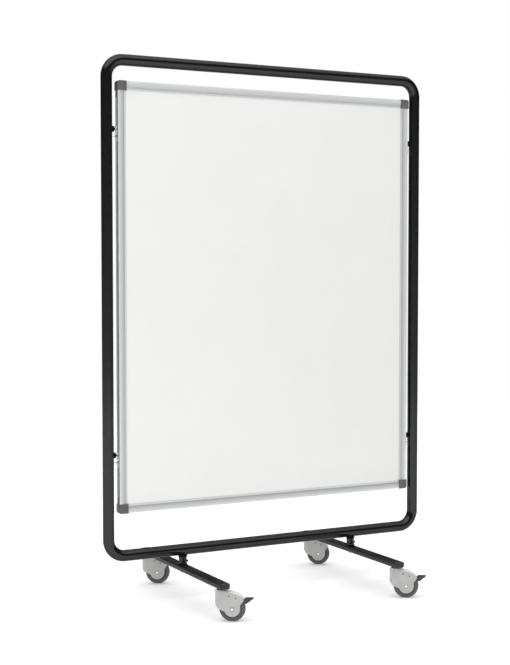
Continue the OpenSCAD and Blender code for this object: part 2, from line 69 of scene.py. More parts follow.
hoop_low, hoop_high, hoop_mid = corners("frame_hoop")
TUBE_R = (hoop_high.y - hoop_low.y) / 2
HOOP_Y = hoop_mid.y
HOOP_X = hoop_high.x - TUBE_R
HOOP_BASE = hoop_low.z + TUBE_R
HOOP_TOP = hoop_high.z - TUBE_R
BEND_R = 60 * MM

side_low, side_high, side_mid = corners("left_profile")
PROFILE_D = side_high.y - side_low.y
PROFILE_FACE = side_high.x - side_low.x
BOARD_MID = side_mid.z
HALF_W = -side_low.x
HALF_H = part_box("top_profile")[1].z - BOARD_MID
WINDOW_W = 2 * (HALF_W - PROFILE_FACE)
WINDOW_H = 2 * (HALF_H - PROFILE_FACE)

foot_low, foot_high, foot_mid = corners("left_foot")
FOOT_X = -foot_mid.x
FOOT_W = foot_high.x - foot_low.x
FOOT_H = foot_high.z - foot_low.z
FOOT_TUBE_L = foot_high.y - foot_low.y
FOOT_UNDER = foot_low.z
FOOT_TOP = foot_high.z

# The rail's face runs in from the board's edge to its step, and the lip holds the sheet beyond that.
LIP_W = 8 * MM
RAIL_SLOPE = PROFILE_FACE - LIP_W

joints = {joint["name"]: joint for joint in frame["joints"]}


# ---------- matrices ----------

def at(x, y, z):
    return Matrix.Translation((x, y, z))


def turned(axis, angle):
    return Matrix.Rotation(radians(angle), 4, axis)


def flipped(axis):
    return Matrix.Scale(-1, 4, axis)


ALONG_X = turned("Y", 90)
ALONG_Y = turned("X", -90)
MIRROR_X = flipped((1, 0, 0))
MIRROR_Y = flipped((0, 1, 0))
MIRROR_Z = flipped((0, 0, 1))
HERE = Matrix.Identity(4)


def caster_frame(name):
    """The caster's own frame: the origin is the axle, +X is the way the wheel trails and +Y is the axle."""
    stem = Vector(joints[name + "_swivel_turn"]["pos_m"])
    hub = Vector(joints[name + "_wheel_spin"]["pos_m"])
    reach = hub - stem
    angle = atan2(reach.y, reach.x)
    return at(*hub) @ Matrix.Rotation(angle, 4, "Z"), hypot(reach.x, reach.y)


TRAIL = caster_frame("front_left")[1]
HUB_Z = joints["front_left_wheel_spin"]["pos_m"][2]
at_caster = {name: caster_frame(name)[0] for name in CASTERS}
STEM_SPOTS = [joints[name + "_swivel_turn"]["pos_m"] for name in CASTERS]
STEMS = [at(x, y, FOOT_UNDER) for x, y, _ in STEM_SPOTS]
POSTS = [at(sx * FOOT_X, HOOP_Y, 0) for sx in (-1, 1)]


# ---------- mesh shapes: each returns (points, faces) ----------

def loft(rings, closed=False):
    """Skins a list of equal rings, joined end to start or shut with a cap at each end."""
    n = len(rings[0])
    points = [Vector(p) for ring in rings for p in ring]
    faces = []
    for k in range(len(rings) if closed else len(rings) - 1):
        a, b = k * n, (k + 1) % len(rings) * n
        faces += [(a + i, a + (i + 1) % n, b + (i + 1) % n, b + i) for i in range(n)]
    if not closed:
        faces += [tuple(reversed(range(n))), tuple(range(len(points) - n, len(points)))]
    return points, faces


def lathe(profile, steps=64, closed=False):
    """Turns (radius, height) points round Z. A closed profile makes a ring."""
    turn = [(cos(2 * pi * i / steps), sin(2 * pi * i / steps)) for i in range(steps)]
    return loft([[(r * c, r * s, z) for c, s in turn] for r, z in profile], closed)


def prism(outline, low, high):
    """An outline in X and Y, run from low to high along Z."""
    return loft([[(x, y, z) for x, y in outline] for z in (low, high)])


def arc(cx, cy, r, start, end, steps=8):
    """Points on an arc, from one angle to another in degrees."""
    angles = [radians(start + (end - start) * i / steps) for i in range(steps + 1)]
    return [(cx + r * cos(a), cy + r * sin(a)) for a in angles]


def rounded_rectangle(w, h, r, steps=6):
    x, y = w / 2 - r, h / 2 - r
    return (arc(x, y, r, 0, 90, steps) + arc(-x, y, r, 90, 180, steps)
            + arc(-x, -y, r, 180, 270, steps) + arc(x, -y, r, 270, 360, steps))


def disc_edge(r, z, edge, up, steps=4):
    """Lathe points that round a disc's rim, from the face inwards to the side, or the other way when up."""
    turn = [radians(90 * i / steps) for i in range(steps + 1)]
    if up:
        return [(r - edge + edge * cos(a), z - edge + edge * sin(a)) for a in turn]
    return [(r - edge + edge * sin(a), z + edge - edge * cos(a)) for a in turn]


def washer(inner, outer, low, high, edge):
    """A flat ring with rounded outer rims."""
    rims = disc_edge(outer, low, edge, False) + disc_edge(outer, high, edge, True)
    return lathe([(inner, low)] + rims + [(inner, high)], closed=True)


def placed(shape, matrix):
    points, faces = shape
    return [matrix @ p for p in points], faces


# ---------- pieces ----------

def piece(name, body, material, shapes, places=(HERE,), stands_for=(), edge=0.0, segments=2):
    """One mesh object: every shape at every place, with soft edges, riding on a CAD body."""
    bm = bmesh.new()
    for matrix in places:
        for shape in shapes:
            points, faces = placed(shape, matrix)
            verts = [bm.verts.new(p) for p in points]
            for face in faces:
                bm.faces.new([verts[i] for i in face])
    bmesh.ops.remove_doubles(bm, verts=bm.verts, dist=1e-6)
    bmesh.ops.dissolve_degenerate(bm, edges=bm.edges, dist=1e-7)
    bmesh.ops.recalc_face_normals(bm, faces=bm.faces)
    for face in bm.faces:
        face.smooth = True
    for e in bm.edges:
        e.smooth = e.calc_face_angle(0) < SHARP
    mesh = bpy.data.meshes.new(name)
    bm.to_mesh(mesh)
    bm.free()
    mesh.materials.append(material)
    obj = bpy.data.objects.new(name, mesh)
    bpy.context.scene.collection.objects.link(obj)
    if edge:
        soften(obj, edge, segments)
    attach(obj, body)
    if stands_for:
        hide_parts(*stands_for)
    return obj


def soften(obj, width, segments=2):
    bevel = obj.modifiers.new("soft edges", "BEVEL")
    bevel.width = width
    bevel.segments = segments
    bevel.limit_method = "ANGLE"
    bevel.angle_limit = SHARP
    bevel.use_clamp_overlap = True
    flat = obj.modifiers.new("flat faces stay flat", "WEIGHTED_NORMAL")
    flat.keep_sharp = False
    flat.weight = 80


def carried(node, material, edge=0.0):
    """A CAD node that is shown as it is, with its finish and, where it helps, softened edges."""
    obj = frame["nodes"][node]
    obj.data.materials.clear()
    obj.data.materials.append(material)
    if edge:
        weld = obj.modifiers.new("join split edges", "WELD")
        weld.merge_threshold = 1e-6
        soften(obj, edge)


# ---------- materials ----------

class Finish:
    """A Principled material with helpers for procedural detail, in object coordinates (metres)."""

    def __init__(self, name, roughness, metallic=0.0, specular=0.5):
        self.material = bpy.data.materials.new(name)
        self.material.use_nodes = True
        self.nodes = self.material.node_tree.nodes
        self.links = self.material.node_tree.links
        self.shader = self.nodes["Principled BSDF"]
        self.shader.inputs["Roughness"].default_value = roughness
        self.shader.inputs["Metallic"].default_value = metallic
        self.shader.inputs["Specular IOR Level"].default_value = specular
        self.where = self.nodes.new("ShaderNodeTexCoord").outputs["Object"]
        self.normal = None

    def node(self, kind, **inputs):
        made = self.nodes.new(kind)
        for key, value in inputs.items():
            socket = made.inputs[key.replace("_", " ")]
            if isinstance(value, bpy.types.NodeSocket):
                self.links.new(value, socket)
            else:
                socket.default_value = value
        return made

    def noise(self, size, detail=3.0, stretch=(1, 1, 1)):
        """Noise whose features are about `size` across, drawn out along the axes whose stretch is over 1."""
        mapping = self.node("ShaderNodeMapping", Vector=self.where, Scale=[1 / s for s in stretch])
        made = self.node("ShaderNodeTexNoise", Vector=mapping.outputs[0], Scale=1 / size, Detail=detail)
        return made.outputs[0]

    def ramp(self, value, low, high, to_low=0.0, to_high=1.0):
        made = self.node("ShaderNodeMapRange", Value=value)
        for key, number in zip(("From Min", "From Max", "To Min", "To Max"), (low, high, to_low, to_high)):
            made.inputs[key].default_value = number
        return made.outputs[0]

    def absolute(self, value, middle):
        """How far a coordinate is from the middle, either way."""
        shift = self.nodes.new("ShaderNodeMath")
        shift.operation = "SUBTRACT"
        self.links.new(value, shift.inputs[0])
        shift.inputs[1].default_value = middle
        size = self.nodes.new("ShaderNodeMath")
        size.operation = "ABSOLUTE"
        self.links.new(shift.outputs[0], size.inputs[0])
        return size.outputs[0]

    def times(self, a, b):
        made = self.nodes.new("ShaderNodeMath")
        made.operation = "MULTIPLY"
        for socket, value in zip(made.inputs, (a, b)):
            if isinstance(value, bpy.types.NodeSocket):
                self.links.new(value, socket)
            else:
                socket.default_value = value
        return made.outputs[0]

    def blend(self, share, a, b):
        """Colour a where share is 0 and b where it is 1. Each is a colour or a socket."""
        made = self.nodes.new("ShaderNodeMix")
        made.data_type = "RGBA"
        self.links.new(share, made.inputs[0])
        for socket, value in ((made.inputs[6], a), (made.inputs[7], b)):
            if isinstance(value, bpy.types.NodeSocket):
                self.links.new(value, socket)
            else:
                socket.default_value = (*value, 1)
        return made.outputs[2]

    def colour(self, value):
        if isinstance(value, bpy.types.NodeSocket):
            self.links.new(value, self.shader.inputs["Base Color"])
        else:
            self.shader.inputs["Base Color"].default_value = (*value, 1)

    def rough(self, value):
        self.links.new(value, self.shader.inputs["Roughness"])

    def bump(self, height, depth, strength=1.0):
        """Adds relief. depth is in metres, from the height's 0 to its 1."""
        made = self.node("ShaderNodeBump", Height=height, Strength=strength, Distance=depth)
        if self.normal is not None:
            self.links.new(self.normal, made.inputs["Normal"])
        self.normal = made.outputs[0]
        self.links.new(self.normal, self.shader.inputs["Normal"])

    def facing(self):
        """The way the surface faces, split into its directions."""
        normal = self.nodes.new("ShaderNodeNewGeometry").outputs["Normal"]
        return self.node("ShaderNodeSeparateXYZ", Vector=normal)

    def dull_at_a_slant(self, facing, grazing):
        """A coat with fine orange peel scatters its reflection away where it is seen at a slant."""
        slant = self.node("ShaderNodeLayerWeight", Blend=0.5).outputs["Facing"]
        self.links.new(self.ramp(slant, 0.1, 0.55, facing, grazing), self.shader.inputs["Specular IOR Level"])

    def worn_edges(self, radius, sharpness=0.12):
        """1 on convex and concave edges, 0 on flat stretches, broken up by noise."""
        soft = self.nodes.new("ShaderNodeBevel")
        soft.samples = 4
        soft.inputs["Radius"].default_value = radius
        geometry = self.nodes.new("ShaderNodeNewGeometry")
        dot = self.nodes.new("ShaderNodeVectorMath")
        dot.operation = "DOT_PRODUCT"
        self.links.new(soft.outputs[0], dot.inputs[0])
        self.links.new(geometry.outputs["Normal"], dot.inputs[1])
        edge = self.ramp(dot.outputs["Value"], 1 - sharpness / 4, 1 - sharpness, 0, 1)
        patch = self.ramp(self.noise(14 * MM, 4), 0.5, 0.68)
        return self.times(edge, patch)


def tint(colour, factor):
    return tuple(min(1.0, c * factor) for c in colour)


def powder_coat(name, base):
    """Smooth black powder coat with a little orange peel, rubbed through to grey on its edges."""
    f = Finish(name, 0.15)
    cloud = f.ramp(f.noise(70 * MM, 3), 0.3, 0.7)
    coat = f.blend(cloud, tint(base, 0.8), tint(base, 1.25))
    f.colour(f.blend(f.worn_edges(0.8 * MM), coat, (0.05, 0.05, 0.052)))
    f.rough(f.ramp(f.noise(25 * MM, 4), 0.3, 0.7, 0.12, 0.19))
    f.dull_at_a_slant(0.5, 0.1)
    f.bump(f.noise(1.6 * MM, 2), 0.02 * MM, 0.5)
    return f.material


def moulded(name, base, roughness, grain=0.9, specular=0.5):
    """Injection-moulded plastic with a fine spark-eroded grain."""
    f = Finish(name, roughness, specular=specular)
    cloud = f.ramp(f.noise(18 * MM, 3), 0.3, 0.7)
    skin = f.blend(cloud, tint(base, 0.88), tint(base, 1.14))
    f.colour(f.blend(f.worn_edges(0.6 * MM), skin, tint(base, 1.9)))
    f.rough(f.ramp(f.noise(6 * MM, 3), 0.3, 0.7, roughness - 0.06, roughness + 0.08))
    f.bump(f.noise(0.5 * MM, 2), 0.03 * MM, grain)
    return f.material


def white_enamel():
    base = (0.84, 0.85, 0.832)
    f = Finish("white enamel", 0.2)
    cloud = f.ramp(f.noise(180 * MM, 4), 0.3, 0.7)
    f.colour(f.blend(cloud, tint(base, 0.985), tint(base, 1.01)))
    wiped = f.noise(30 * MM, 4, stretch=(9, 1, 1))
    f.rough(f.ramp(wiped, 0.3, 0.7, 0.28, 0.34))
    f.bump(f.noise(2.5 * MM, 2), 0.02 * MM, 0.35)
    return f.material


def brushed(name, base, roughness, length, stretch, tone=0.06, metallic=1.0):
    """Drawn metal: fine lines along one axis, with slow patches."""
    f = Finish(name, roughness, metallic)
    lines = f.noise(length, 5, stretch=stretch)
    patches = f.ramp(f.noise(120 * MM, 3), 0.3, 0.7)
    streaky = f.blend(f.ramp(lines, 0.3, 0.7), tint(base, 1 - tone), tint(base, 1 + tone))
    f.colour(f.blend(f.times(patches, 0.25), streaky, tint(base, 0.94)))
    f.rough(f.ramp(lines, 0.3, 0.7, roughness - 0.05, roughness + 0.07))
    f.bump(lines, 0.01 * MM, 0.5)
    return f.material


def anodised(name, along, half):
    """Satin anodised rail, drawn along its length, with painted shade: the face is painted lighter towards
    its edge, `half` from the middle, and darker towards the board, and the sides are painted dark.
    """
    f = Finish(name, 0.5, 0.3)
    place = f.node("ShaderNodeSeparateXYZ", Vector=f.where)
    if along == "Z":
        reach, stretch = f.absolute(place.outputs["X"], 0), (1, 1, 200)
    else:
        reach, stretch = f.absolute(place.outputs["Z"], BOARD_MID), (200, 1, 1)
    lines = f.noise(0.35 * MM, 5, stretch=stretch)
    # Painted shade: the face is painted dark at its step and lighter out to the board's edge, standing for
    # the crown's reflections; the lip past the step is painted lighter again.
    painted_light_share = f.ramp(reach, half - RAIL_SLOPE, half, 0, 1)
    crown = f.blend(painted_light_share, (0.46, 0.475, 0.48), (0.8, 0.815, 0.82))
    lip = f.ramp(reach, half - RAIL_SLOPE - 0.2 * MM, half - RAIL_SLOPE - 0.6 * MM, 0, 1)
    face = f.blend(lip, crown, (0.7, 0.71, 0.71))
    # Painted shade: the rail's sides, seen edge-on, are painted dark grey.
    painted_side_shade = f.ramp(f.absolute(f.facing().outputs["Y"], 0), 0.62, 0.5, 0, 1)
    face = f.blend(painted_side_shade, face, (0.24, 0.245, 0.25))
    f.colour(f.blend(f.ramp(lines, 0.3, 0.7, 0.0, 0.12), face, (0.3, 0.3, 0.31)))
    f.rough(f.ramp(lines, 0.3, 0.7, 0.42, 0.58))
    f.bump(lines, 0.01 * MM, 0.5)
    return f.material


def fork_paint():
    base = (0.445, 0.45, 0.44)
    f = Finish("grey fork paint", 0.42)
    cloud = f.ramp(f.noise(30 * MM, 3), 0.3, 0.7)
    coat = f.blend(cloud, tint(base, 0.95), tint(base, 1.05))
    # Painted light: faces that look up are painted near white, standing for the overhead light on the roof.
    coat = f.blend(f.ramp(f.facing().outputs["Z"], 0.35, 0.8), coat, (0.86, 0.87, 0.85))
    f.colour(f.blend(f.worn_edges(0.7 * MM), coat, (0.62, 0.62, 0.6)))
    f.rough(f.ramp(f.noise(10 * MM, 4), 0.3, 0.7, 0.36, 0.5))
    f.bump(f.noise(1.0 * MM, 2), 0.03 * MM, 0.6)
    return f.material


def rubber(name, base):
    """Matt rubber, dusty in patches."""
    f = Finish(name, 0.75, specular=0.35)
    dust = f.ramp(f.noise(9 * MM, 5), 0.42, 0.72)
    f.colour(f.blend(f.times(dust, 0.35), tint(base, 0.94), tint(base, 1.7)))
    f.rough(f.ramp(f.noise(4 * MM, 4), 0.3, 0.7, 0.66, 0.86))
    f.bump(f.noise(0.7 * MM, 3), 0.05 * MM, 0.8)
    return f.material


def polished(name, base, roughness):
    f = Finish(name, roughness, 1.0)
    smear = f.noise(3 * MM, 4)
    f.colour(f.blend(f.ramp(smear, 0.35, 0.65), tint(base, 0.93), tint(base, 1.04)))
    f.rough(f.ramp(smear, 0.3, 0.7, roughness - 0.06, roughness + 0.1))
    f.bump(f.noise(0.8 * MM, 2), 0.01 * MM, 0.4)
    return f.material


def fibreboard():
    f = Finish("core board", 0.8)
    chips = f.ramp(f.noise(3 * MM, 5, stretch=(3, 1, 3)), 0.35, 0.65)
    f.colour(f.blend(chips, (0.34, 0.25, 0.15), (0.5, 0.38, 0.24)))
    f.bump(chips, 0.2 * MM, 0.5)
    return f.material


BLACK_COAT = powder_coat("black powder coat", (0.0045, 0.0045, 0.0046))
FOOT_COAT = powder_coat("foot powder coat", (0.018, 0.018, 0.0182))
RING_COAT = moulded("ring coat", (0.05, 0.05, 0.05), 0.35)
BLACK_PLASTIC = moulded("black plastic", (0.012, 0.012, 0.0125), 0.42)
# Almost lightless black with a weak reflection: black plastic that is also painted shade, in the dark bands
# under the hoop, round the post's foot and under the feet.
BLACK_AND_PAINTED_SHADE = moulded("black plastic and painted shade", (0.003, 0.003, 0.0031), 0.6, specular=0.1)
CAP_PLASTIC = moulded("grey plastic", (0.104, 0.104, 0.107), 0.46)
PEDAL_PLASTIC = moulded("pedal plastic", (0.042, 0.042, 0.041), 0.5)
NYLON = moulded("nylon", (0.76, 0.74, 0.66), 0.45)
WHEEL_PLASTIC = moulded("wheel plastic", (0.1, 0.1, 0.098), 0.5)
ENAMEL = white_enamel()
SIDE_ALUMINIUM = anodised("anodised aluminium upright", "Z", HALF_W)
END_ALUMINIUM = anodised("anodised aluminium level", "X", HALF_H)
ZINC = brushed("zinc plate", (0.8, 0.8, 0.78), 0.28, 1.2 * MM, (1, 1, 4), tone=0.08)
# Two painted tones of one zinc: dark for painted shade on the slide plates, and near white with little metal
# for a painted reflection on their pads.
SHADED_ZINC = brushed("zinc in painted shade", (0.36, 0.36, 0.35), 0.45, 1.2 * MM, (1, 1, 4), tone=0.06)
PAINTED_REFLECTION_ZINC = brushed("zinc with painted reflection", (0.93, 0.93, 0.92), 0.45, 1.2 * MM, (1, 1, 4), tone=0.03, metallic=0.2)
FORK_PAINT = fork_paint()
TYRE_RUBBER = rubber("grey rubber", (0.11, 0.11, 0.107))
SHOE_RUBBER = rubber("brake rubber", (0.05, 0.05, 0.05))
POLISHED = polished("polished rivet", (0.9, 0.9, 0.89), 0.16)
# Dark steel for the axle washers: painted shade of the recess round the axle head.
SHADED_WASHER_STEEL = polished("washer steel in painted shade", (0.3, 0.3, 0.3), 0.45)
DARK_STEEL = polished("dark rivet", (0.12, 0.12, 0.12), 0.4)
CORE_BOARD = fibreboard()


# ---------- hoop ----------

def hoop_tube():
    """The bent tube: a round section carried along straights and quarter bends, back to its start."""
    x, low, high = HOOP_X - BEND_R, HOOP_BASE + BEND_R, HOOP_TOP - BEND_R
    steps, around = 20, 56
    rings = []
    for cx, cz, start in ((x, low, -90), (x, high, 0), (-x, high, 90), (-x, low, 180)):
        for i in range(steps + 1):
            a = radians(start + 90 * i / steps)
            out = Vector((cos(a), 0, sin(a)))
            mid = Vector((cx, HOOP_Y, cz)) + out * BEND_R
            turn = [2 * pi * k / around for k in range(around)]
            rings.append([mid + out * TUBE_R * cos(t) + Vector((0, TUBE_R * sin(t), 0)) for t in turn])
    return loft(rings, closed=True)


piece("hoop_tube", "frame", BLACK_COAT, [hoop_tube()], stands_for=["frame_hoop"])


# ---------- board ----------

EDGE_R = 3 * MM
CROWN_R = 67 * MM
LIP_STEP = 9.8 * MM
GROOVE_W = 10.6 * MM
GROOVE_DEPTH = 4 * MM
PANEL_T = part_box("front_sheet")[1].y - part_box("front_sheet")[0].y
CORE_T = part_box("core_panel")[1].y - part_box("core_panel")[0].y


def profile_outline():
    """Half of the frame profile's section, mirrored: X runs in from the board's edge and Y is the depth."""
    half = PROFILE_D / 2
    slope_end = RAIL_SLOPE
    outline = [(GROOVE_DEPTH, GROOVE_W / 2), (0.3 * MM, GROOVE_W / 2), (0, GROOVE_W / 2 + 0.3 * MM)]
    outline += arc(EDGE_R, half - EDGE_R, EDGE_R, 180, 90, 6)
    for i in range(1, 11):
        x = EDGE_R + (slope_end - EDGE_R) * i / 10
        outline.append((x, half - CROWN_R + sqrt(CROWN_R ** 2 - (x - EDGE_R) ** 2)))
    gutter = outline[-1][1] - 0.9 * MM
    outline += [(slope_end + 0.15 * MM, gutter), (slope_end + 1.1 * MM, gutter)]
    outline += [(slope_end + 1.3 * MM, LIP_STEP - 0.1 * MM), (slope_end + 1.6 * MM, LIP_STEP)]
    outline += [(PROFILE_FACE - 0.5 * MM, LIP_STEP), (PROFILE_FACE, LIP_STEP - 0.5 * MM)]
    outline.append((PROFILE_FACE, CORE_T / 2))
    return outline + [(x, -y) for x, y in reversed(outline)]


def profile(length):
    return prism(profile_outline(), -length / 2, length / 2)


SIDE_PLACES = {
    "left": at(-HALF_W, HOOP_Y, BOARD_MID),
    "right": at(HALF_W, HOOP_Y, BOARD_MID) @ MIRROR_X,
}
for side, place in SIDE_PLACES.items():
    piece(side + "_rail", "frame", SIDE_ALUMINIUM, [profile(WINDOW_H)], [place],
          stands_for=[side + "_profile"])
END_PLACES = {
    "top": at(0, HOOP_Y, BOARD_MID + HALF_H),
    "bottom": at(0, HOOP_Y, BOARD_MID - HALF_H) @ MIRROR_Z,
}
for end, place in END_PLACES.items():
    piece(end + "_rail", "frame", END_ALUMINIUM, [profile(WINDOW_W)],
          [place @ ALONG_X], stands_for=[end + "_profile"])


def face_sheet(side):
    """The enamelled steel sheet: its edge turns down by a hair, so that its rim catches a line."""
    face, back = CORE_T / 2 + PANEL_T, CORE_T / 2
    rings = [[(x, y, back) for x, y in rounded_rectangle(WINDOW_W, WINDOW_H, 0.4 * MM, 2)]]
    for inset, drop in ((0, 0.3 * MM), (0.1 * MM, 0.08 * MM), (0.35 * MM, 0)):
        outline = rounded_rectangle(WINDOW_W - 2 * inset, WINDOW_H - 2 * inset, 0.4 * MM, 2)
        rings.append([(x, y, face - drop) for x, y in outline])
    turn = turned("X", 90) if side < 0 else turned("X", -90)
    return placed(loft(rings), at(0, HOOP_Y, BOARD_MID) @ turn)


piece("front_enamel", "frame", ENAMEL, [face_sheet(-1)], stands_for=["front_sheet"])
piece("rear_enamel", "frame", ENAMEL, [face_sheet(1)], stands_for=["rear_sheet"])
carried("core_panel", CORE_BOARD)


# ---------- corner caps ----------

CAP_PROUD = -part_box("corner_caps")[0].x - HALF_W
CAP_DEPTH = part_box("corner_caps")[1].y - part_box("corner_caps")[0].y
CAP_OVERLAP = 1.5 * MM
CAP_CORNER_R = 9 * MM
CAP_EDGE = 1.6 * MM
TONGUE_L = 25 * MM


def cap_outline(inset):
    """The cap seen from the front: square, with its outer corner rounded. X runs in and Y runs up."""
    size = PROFILE_FACE + CAP_OVERLAP + CAP_PROUD - inset
    left, top = -CAP_PROUD + inset, CAP_PROUD - inset
    right, low = left + size - inset / 2, -PROFILE_FACE - CAP_OVERLAP + inset / 2
    r = CAP_CORNER_R - inset
    return [(left, low), (right, low), (right, top)] + arc(left + r, top - r, r, 90, 180, 10)


def cap_block():
    """Rounded block: rings that swell from the back's edge to full size and draw in again at the front."""
    rings = []
    for sign, turn in ((-1, (90, 60, 30, 0)), (1, (0, 30, 60, 90))):
        for a in turn:
            inset = CAP_EDGE * (1 - cos(radians(a)))
            depth = sign * (CAP_DEPTH / 2 - CAP_EDGE + CAP_EDGE * sin(radians(a)))
            rings.append([(x, -depth, y) for x, y in cap_outline(inset)])
    return loft(rings)


def cap_tongue():
    """The tongue that runs in the profile's outer groove, with a small rib down its middle."""
    low, high, half = 0.4 * MM, GROOVE_DEPTH - 0.1 * MM, GROOVE_W / 2 - 0.15 * MM
    rib = low - 0.3 * MM
    outline = [(low, -half), (high, -half), (high, half), (low, half),
               (low, 1.2 * MM), (rib, 0.8 * MM), (rib, -0.8 * MM), (low, -1.2 * MM)]
    return prism(outline, -PROFILE_FACE - TONGUE_L, -PROFILE_FACE + 1 * MM)


CAP_PLACES = []
for mirror_x in (HERE, MIRROR_X):
    for mirror_z in (HERE, MIRROR_Z):
        CAP_PLACES.append(at(0, HOOP_Y, BOARD_MID) @ mirror_x @ mirror_z @ at(-HALF_W, 0, HALF_H))
# Swaps the cap's two directions, so that the second tongue runs along the other rail.
TURN_CORNER = Matrix(((0, 0, -1, 0), (0, 1, 0, 0), (-1, 0, 0, 0), (0, 0, 0, 1)))
piece("corner_cap_shells", "frame", CAP_PLASTIC,
      [cap_block(), cap_tongue(), placed(cap_tongue(), TURN_CORNER)], CAP_PLACES, stands_for=["corner_caps"])


# ---------- hangers ----------

STUD_R = 3 * MM
PIN_R = 2 * MM
PIN_DROP = 26 * MM
SPACER_R = 10.5 * MM
SPACER_L = 6 * MM
SPACER_TIP_R = 4 * MM
SPACER_TIP_L = 5 * MM
STRIP_W = 20 * MM
STRIP_T = 1.6 * MM
STRIP_L = 56 * MM
RIB_W = 10.2 * MM
STRIP_ABOVE = 12 * MM
# From the tube's centre line to the board's edge, and to just short of the bottom of its groove.
BOARD_EDGE = HOOP_X - HALF_W
GROOVE_END = BOARD_EDGE + GROOVE_DEPTH - 0.3 * MM
stud_low, stud_high, _ = corners("hanger_studs")
HANGER_PLACES = []
for z in (stud_low.z + STUD_R, stud_high.z - STUD_R):
    for mirror in (HERE, MIRROR_X):
        HANGER_PLACES.append(at(0, HOOP_Y, z) @ mirror @ at(-HOOP_X, 0, 0))


def spacer():
    """A moulded knob: full width against the tube, one grip groove, a flat face and a neck for the stud."""
    r, tip, bore = SPACER_R, SPACER_TIP_R, STUD_R + 0.2 * MM
    start, end = TUBE_R * 0.55, TUBE_R + SPACER_L
    tip_end = end + SPACER_TIP_L
    profile = [(bore, start), (r, start), (r, end - 4 * MM), (r - 0.5 * MM, end - 3.8 * MM)]
    profile += [(r - 0.5 * MM, end - 2.8 * MM), (r, end - 2.6 * MM), (r, end - 0.6 * MM)]
    profile += [(r - 0.2 * MM, end - 0.15 * MM), (r - 0.7 * MM, end + 0.1 * MM)]
    profile += [(tip + 1 * MM, end + 0.8 * MM), (tip, end + 1.4 * MM), (tip, tip_end - 0.5 * MM)]
    profile += [(tip - 0.5 * MM, tip_end), (bore, tip_end)]
    return placed(lathe(profile, closed=True), ALONG_X)


def stud():
    """A threaded stud: rings along its length stand for the thread's ridges."""
    start, end, pitch = TUBE_R * 0.3, GROOVE_END, 1 * MM
    profile = [(1 * MM, start), (2.5 * MM, start), (STUD_R, start + 0.5 * MM)]
    z = BOARD_EDGE - 4.2 * MM
    while z + pitch < end - 0.8 * MM:
        profile += [(STUD_R, z), (STUD_R, z + 0.25 * pitch), (STUD_R - 0.45 * MM, z + 0.6 * pitch)]
        z += pitch
    profile += [(STUD_R, z), (STUD_R, end - 0.5 * MM), (2.5 * MM, end), (1 * MM, end)]
    return placed(lathe(profile, 32), ALONG_X)


def on_rail(shape):
    """Stands a flat shape, drawn in X and Y with its height along Z, up against the board's side."""
    face = BOARD_EDGE - 0.05 * MM
    return placed(shape, Matrix(((0, 0, -1, face), (1, 0, 0, 0), (0, 1, 0, 0), (0, 0, 0, 1))))


def pressed(w, low, high, r, base, top, rim):
    """A flat plate between two heights, with its upper edge rounded over a rim."""
    mid, length = (low + high) / 2, high - low
    rings = []
    for inset, z in ((0, base), (0, top - rim), (0.3 * rim, top - 0.3 * rim), (rim, top)):
        outline = rounded_rectangle(w - 2 * inset, length - 2 * inset, r - inset, 6)
        rings.append([(x, y + mid, z) for x, y in outline])
    return on_rail(loft(rings))


def strip():
    """The sliding plate on the board's side and the rib on its back that runs in the groove."""
    low = STRIP_ABOVE - STRIP_L
    rib_end = 0.4 * MM - GROOVE_DEPTH
    return [pressed(STRIP_W, low, STRIP_ABOVE, 6 * MM, 0, STRIP_T, 0.3 * MM),
            pressed(RIB_W, low, STRIP_ABOVE, 2 * MM, rib_end, 0.5 * MM, 0.2 * MM)]


def strip_pads():
    """Three raised pads on the plate: above the stud, between stud and pin, and below the pin."""
    pads = ((1 * MM, STRIP_ABOVE - 0.5 * MM),
            (5 * MM - PIN_DROP, -3 * MM),
            (STRIP_ABOVE - STRIP_L + 0.5 * MM, -3 * MM - PIN_DROP))
    w, base, top = STRIP_W - 1 * MM, STRIP_T * 0.5, STRIP_T + 0.9 * MM
    return [pressed(w, low, high, 5 * MM, base, top, 0.5 * MM) for low, high in pads]


def pin():
    start, end, inner, chamfer = TUBE_R * 0.8, GROOVE_END, 0.6 * MM, 0.5 * MM
    profile = [(inner, start), (PIN_R, start), (PIN_R, end - chamfer), (PIN_R - chamfer, end), (inner, end)]
    return placed(lathe(profile, 32), at(0, 0, -PIN_DROP) @ ALONG_X)


piece("spacer_knobs", "frame", BLACK_AND_PAINTED_SHADE, [spacer()], HANGER_PLACES, ["hanger_spacers"])
piece("threaded_studs", "frame", ZINC, [stud()], HANGER_PLACES, ["hanger_studs"])
# The slide plate is painted dark and its pads near white: painted shade round the stud and pin, and painted
# reflection on the pads.
piece("slide_plates", "frame", SHADED_ZINC, strip(), HANGER_PLACES, ["hanger_strips"])
piece("slide_plate_pads", "frame", PAINTED_REFLECTION_ZINC, strip_pads(), HANGER_PLACES)
piece("locating_pins", "frame", ZINC, [pin()], HANGER_PLACES, ["hanger_pins"])
carried("hoop_inserts", ZINC)


# ---------- posts ----------

POST_R = 14 * MM
POST_WALL = 3 * MM
BASE_H = 9 * MM
BASE_R = 17 * MM
FLANGE_H = 4 * MM
RING_R = 14.5 * MM
RING_LOW, RING_HIGH = 5.5 * MM, 7.5 * MM
NECK_R = 12.8 * MM
SPIGOT_R = 10.9 * MM
SPIGOT_L = 14 * MM
SADDLE_R = 16 * MM
SADDLE_H = 6 * MM
SIDE_SCREW_Z = 12.5 * MM
SCREW_R, SCREW_HEAD_R, SCREW_HEAD_L = 2.5 * MM, 4.5 * MM, 5 * MM
SOCKET_R, SOCKET_DEPTH = 2.2 * MM, 2.5 * MM
BOLT_R, BOLT_HEAD_R, BOLT_HEAD_H = 5 * MM, 9.8 * MM, 6.5 * MM
WASHER_R, WASHER_T = 10.5 * MM, 2 * MM


